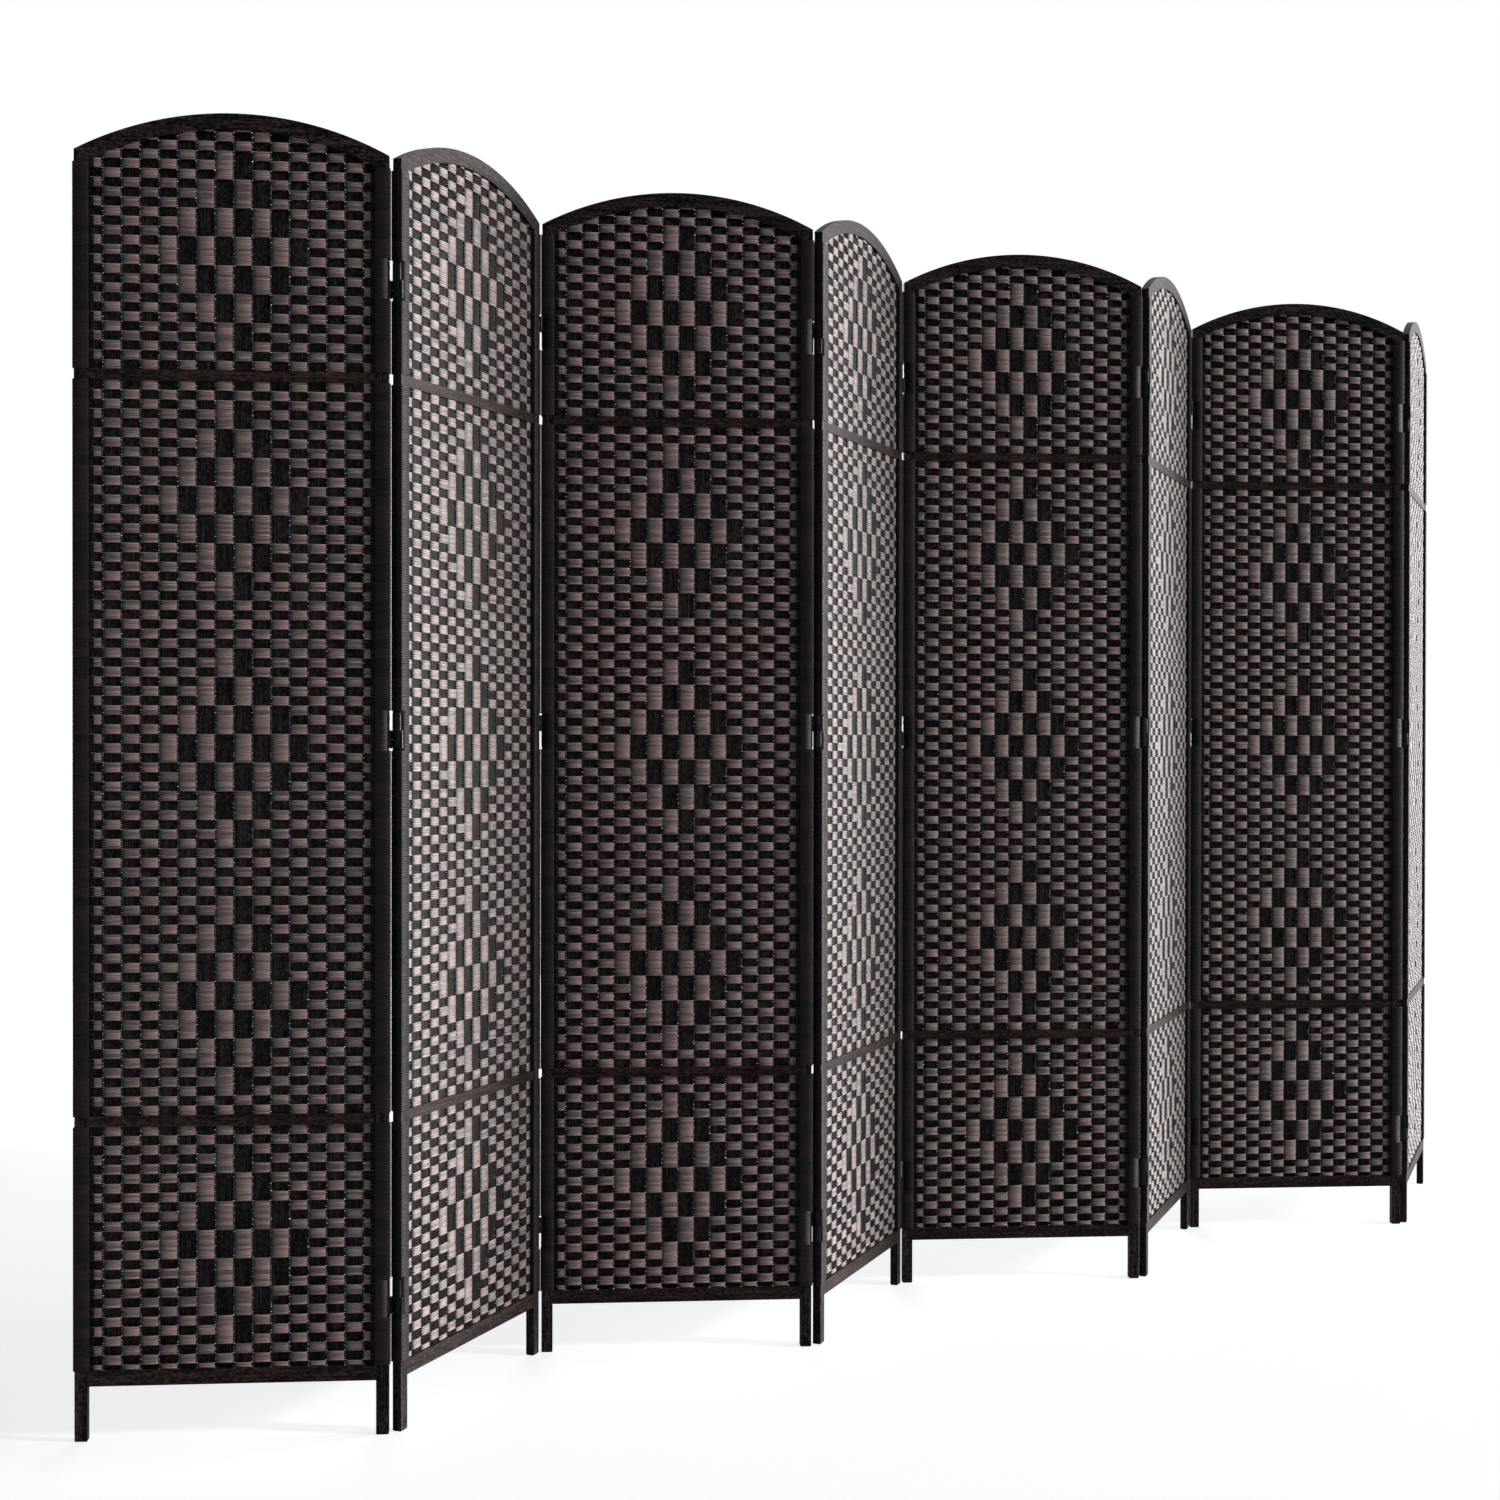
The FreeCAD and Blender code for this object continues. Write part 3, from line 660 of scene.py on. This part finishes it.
# ---------------------------------------------------------------- hinges
KNUCKLE_PLAY = 0.15
SHEET_BEVEL, SHEET_CLIP = 0.16, 1.5
KNUCKLE_SIDES, PIN_SIDES, SCREW_SIDES = 24, 16, 32
KNUCKLE_RIM = ((0.5, 0), (0.12, 0.05), (0, 0.22))  # (inset, height) of a knuckle's softened end
PIN_HEAD = ((1.05, 0.0), (0.95, 0.16), (0.5, 0.28))  # (radius, height) of a pin's upset head
SCREW_SPOTS = ((-17.0, -1.8), (0.0, 1.8), (17.0, -1.8))  # (up, back) from the leaf's middle
# (radius, height) of a screw's domed head, with rings close together at its recess's rim
SCREW_RINGS = (
    (2.3, -0.1), (2.3, 0.04), (2.1, 0.17), (1.6, 0.26), (1.26, 0.3),
    (1.22, 0.3), (0.8, 0.31), (0.4, 0.32), (0.27, 0.32), (0.1, 0.32),
)
SLOT_HALF, SLOT_REACH, SLOT_DEPTH = 0.26, 1.25, 0.3


def barrel_levels(half):
    """Heights above the hinge's middle of the leaf's knuckle and the link's, and their length."""
    length = HINGE_HEIGHT / 4 - KNUCKLE_PLAY
    if half == "low":
        return -HINGE_HEIGHT / 2, -length, length
    return HINGE_HEIGHT / 2 - length, 0.0, length


def sheet_outline(centre):
    """Outline (y, z) of a leaf or a link, with clipped corners."""
    y, low, high = PLATE_REACH, centre - HINGE_HEIGHT / 2, centre + HINGE_HEIGHT / 2
    cut = SHEET_CLIP
    return [
        (-y + cut, low), (y - cut, low), (y, low + cut), (y, high - cut),
        (y - cut, high), (-y + cut, high), (-y, high - cut), (-y, low + cut),
    ]


def add_plate(bm, outline, x0, x1):
    """Sheet metal between x0 and x1 with softened edges; its cut rim is bare metal."""
    rings = [[bm.verts.new((x, y, z)) for y, z in outline] for x in (x0, x1)]
    faces = [bm.faces.new(rings[0][::-1]), bm.faces.new(rings[1])]
    for i in range(len(outline)):
        j = (i + 1) % len(outline)
        faces.append(bm.faces.new((rings[0][i], rings[0][j], rings[1][j], rings[1][i])))
    bmesh.ops.recalc_face_normals(bm, faces=faces)
    for face in faces[2:]:
        face.material_index = 1
    edges = [edge for face in faces[:2] for edge in face.edges]
    bmesh.ops.bevel(
        bm, geom=edges, offset=SHEET_BEVEL, segments=2, affect="EDGES", profile=0.6
    )


def add_lathe(bm, centre, rings, segments, axis="z", recess=None):
    """Turned shape: rings of (radius, height) about a centre, along z or along +x or -x."""
    x, y, z = centre
    loops = []
    for radius, height in rings:
        loop = []
        for i in range(segments):
            a = 2 * math.pi * i / segments
            u, v = radius * math.cos(a), radius * math.sin(a)
            h = height - (recess(u, v) if recess else 0.0)
            at = (x + u, y + v, z + h) if axis == "z" else (x + axis * h, y + u, z + v)
            loop.append(bm.verts.new(at))
        loops.append(loop)
    faces = [bm.faces.new(loops[0][::-1]), bm.faces.new(loops[-1])]
    for low, high in zip(loops, loops[1:]):
        for i in range(segments):
            j = (i + 1) % segments
            faces.append(bm.faces.new((low[i], low[j], high[j], high[i])))
    bmesh.ops.recalc_face_normals(bm, faces=faces)


def add_knuckle(bm, x, y, z, length):
    """Rolled knuckle standing on z, with softened ends."""
    rings = [(KNUCKLE - inset, height) for inset, height in KNUCKLE_RIM]
    rings += [(KNUCKLE - inset, length - height) for inset, height in KNUCKLE_RIM[::-1]]
    add_lathe(bm, (x, y, z), rings, KNUCKLE_SIDES)


def add_pin(bm, y, low, high):
    """Pin through the knuckles with a small upset head at each end."""
    rings = [(radius, low - height) for radius, height in PIN_HEAD[::-1]]
    rings += [(radius, high + height) for radius, height in PIN_HEAD]
    add_lathe(bm, (0.0, y, 0), rings, PIN_SIDES)


def cross_slot(u, v):
    """Depth of a screw head's crossed recess."""
    near, far = sorted((abs(u), abs(v)))
    return SLOT_DEPTH if near < SLOT_HALF and far < SLOT_REACH else 0.0


def finish_hinge(bm, name):
    mesh = bpy.data.meshes.new(name)
    bmesh.ops.scale(bm, vec=(MM, MM, MM), verts=bm.verts)
    bm.to_mesh(mesh)
    bm.free()
    for material in hinge_metals:
        mesh.materials.append(material)
    return mesh


@functools.cache
def leaf_set(hinged_halves):
    """All leaves of one panel with their screws, from its (side, barrel half) pairs."""
    bm = bmesh.new()
    for side, half in hinged_halves:
        level, _, length = barrel_levels(half)
        x0, x1 = sorted((side * HALF_WIDTH, side * HALF_WIDTH + side * PLATE))
        pin_y = side * PIN_Y
        y0, y1 = sorted((0.0, pin_y))
        for centre in HINGE_CENTRES:
            add_plate(bm, sheet_outline(centre), x0, x1)
            low, high = centre + level, centre + level + length
            add_plate(bm, [(y0, low), (y1, low), (y1, high), (y0, high)], x0, x1)
            add_knuckle(bm, side * PIN_X, pin_y, low, length)
    count = len(bm.faces)
    for side, _ in hinged_halves:
        for centre in HINGE_CENTRES:
            for dz, dy in SCREW_SPOTS:
                spot = (side * (HALF_WIDTH + PLATE), dy, centre + dz)
                add_lathe(bm, spot, SCREW_RINGS, SCREW_SIDES, side, cross_slot)
    bm.faces.ensure_lookup_table()
    for face in bm.faces[count:]:
        face.material_index = 1
        face.smooth = True
    return finish_hinge(bm, "hinge_leaf_set")


def link_set(half):
    """The middle plates of one joint's three hinges, with a knuckle and a pin on each pin line."""
    bm = bmesh.new()
    leaf_level, level, length = barrel_levels(half)
    x0, x1 = -PLATE / 2, PLATE / 2
    for centre in HINGE_CENTRES:
        add_plate(bm, sheet_outline(centre), x0, x1)
        low, high = centre + level, centre + level + length
        add_plate(bm, [(-PIN_Y, low), (PIN_Y, low), (PIN_Y, high), (-PIN_Y, high)], x0, x1)
        bottom = centre + min(level, leaf_level)
        top = centre + max(level, leaf_level) + length
        for y in (-PIN_Y, PIN_Y):
            add_knuckle(bm, 0.0, y, low, length)
            add_pin(bm, y, bottom, top)
    return finish_hinge(bm, "hinge_link_set_" + half)


for k in range(1, PANELS + 1):
    halves = tuple((side, BARREL_HALF[joint - 1]) for side, joint in panel_joints(k).items())
    place_on_panel(k, "hinge_leaf_set", leaf_set(halves), "hinge_leaves")

link_meshes = {half: link_set(half) for half in ("low", "high")}
for j in range(1, PANELS):
    # the link lies against the even panel of its joint
    beside = Matrix.Translation(((-PIN_X if j % 2 else PIN_X) * MM, 0, 0))
    joint = "%d_%d" % (j, j + 1)
    place_piece(
        "hinge_link_set_" + joint, link_meshes[BARREL_HALF[j - 1]],
        panel_matrix(j + j % 2) @ beside,
        "hinge_links_" + joint, "hinge_links_" + joint,
    )

# ---------------------------------------------------------------- floor
WHITE = (1, 1, 1, 1)
FLOOR_SIZE, FLOOR_GREY = 60, 0.55

bpy.ops.mesh.primitive_plane_add(size=FLOOR_SIZE, location=(0, 0, 0))
floor = bpy.context.object
floor.name = "studio_floor"
paint = Nodes("studio_floor_paint", Roughness=0.9, Specular_IOR_Level=0.1)
paint.shader.inputs["Base Color"].default_value = (FLOOR_GREY, FLOOR_GREY, FLOOR_GREY, 1)
# the camera sees the floor lightened towards the white of the surroundings, more so far away
seen = paint.add("ShaderNodeLightPath").outputs["Is Camera Ray"]
place = paint.add("ShaderNodeTexCoord").outputs["Object"]
spread = paint.add("ShaderNodeVectorMath", {0: place}, operation="LENGTH").outputs["Value"]
glow = paint.remap(spread, 2.5, 12.0, 0.74, 0.9)
paint.shader.inputs["Emission Color"].default_value = WHITE
paint.link(paint.math("MULTIPLY", seen, glow), "Emission Strength")
floor.data.materials.append(paint.material)

# ---------------------------------------------------------------- surroundings
# The view runs along AWAY; the camera sees plain white, reflections see a white backdrop that
# fades towards the viewer's side, and everything else is lit by a weak even fill.
ACROSS, AWAY = Vector((0.8, -0.6, 0)), Vector((0.6, 0.8, 0))
FILL = 0.065

world = bpy.data.worlds.new("studio")
scene.world = world
world.use_nodes = True
sky = world.node_tree
sky.nodes.clear()


def background(strength):
    node = add_node(sky, "ShaderNodeBackground", Color=WHITE)
    if isinstance(strength, float):
        node.inputs["Strength"].default_value = strength
    else:
        sky.links.new(strength, node.inputs["Strength"])
    return node.outputs[0]


rays = add_node(sky, "ShaderNodeLightPath").outputs
direction = add_node(sky, "ShaderNodeTexCoord").outputs["Generated"]
facing = add_node(sky, "ShaderNodeVectorMath", {0: direction}, operation="DOT_PRODUCT")
facing.inputs[1].default_value = AWAY + 0.35 * ACROSS
backdrop = add_node(
    sky, "ShaderNodeMapRange", {"Value": facing.outputs["Value"]},
    From_Min=-0.3, From_Max=0.6, To_Min=0.02, To_Max=1.0,
)
lighting = {0: rays["Is Glossy Ray"], 1: background(FILL), 2: background(backdrop.outputs[0])}
lit = add_node(sky, "ShaderNodeMixShader", lighting)
surface = {0: rays["Is Camera Ray"], 1: lit.outputs[0], 2: background(1.0)}
seen_world = add_node(sky, "ShaderNodeMixShader", surface)
add_node(sky, "ShaderNodeOutputWorld", {"Surface": seen_world.outputs[0]})

# ---------------------------------------------------------------- lamps


def add_lamp(name, kind, at, aim, **settings):
    light = bpy.data.lights.new(name, kind)
    for key, value in settings.items():
        setattr(light, key, value)
    lamp = bpy.data.objects.new(name, light)
    scene.collection.objects.link(lamp)
    lamp.location = at
    lamp.rotation_euler = (aim - at).to_track_quat("-Z", "Y").to_euler()
    lamp.visible_camera = False


def softbox(name, at, aim, size, energy, **settings):
    add_lamp(name, "AREA", at, aim, shape="SQUARE", size=size, energy=energy, **settings)


row_middle = Vector((0.0, 0.0, 0.9))
near_end = row_middle - ACROSS * 1.0 - AWAY * 0.8
grazing_at = row_middle + ACROSS * 9.3 - AWAY * 1.2 + Vector((0, 0, 3.4))
side_at = row_middle + ACROSS * 11.0 + AWAY * 4.2
rear_at = row_middle - ACROSS * 0.5 + AWAY * 5.0 + Vector((0, 0, 0.6))
front_at = row_middle - ACROSS * 2.2 - AWAY * 3.6
add_lamp("grazing_light", "SUN", grazing_at, row_middle, energy=1.7, angle=math.radians(6))
softbox("side_softbox", side_at, row_middle, size=5.0, energy=2600)
softbox("rear_softbox", rear_at, row_middle, size=2.5, energy=120)
softbox("front_softbox", front_at, near_end, size=1.6, energy=6, specular_factor=0.0)

# ---------------------------------------------------------------- camera
CAMERA_AT = (-2.5500, -2.8538, 0.9598)
CAMERA_TURN = (89.590, -0.083, -36.838)
LENS, SENSOR_WIDTH = 53.592, 36.0

camera_data = bpy.data.cameras.new("camera")
camera_data.sensor_width = SENSOR_WIDTH
camera_data.lens = LENS
camera_data.clip_end = 100
camera = bpy.data.objects.new("camera", camera_data)
scene.collection.objects.link(camera)
scene.camera = camera
camera.location = CAMERA_AT
camera.rotation_euler = [math.radians(degrees) for degrees in CAMERA_TURN]

scene.view_settings.view_transform = "Standard"

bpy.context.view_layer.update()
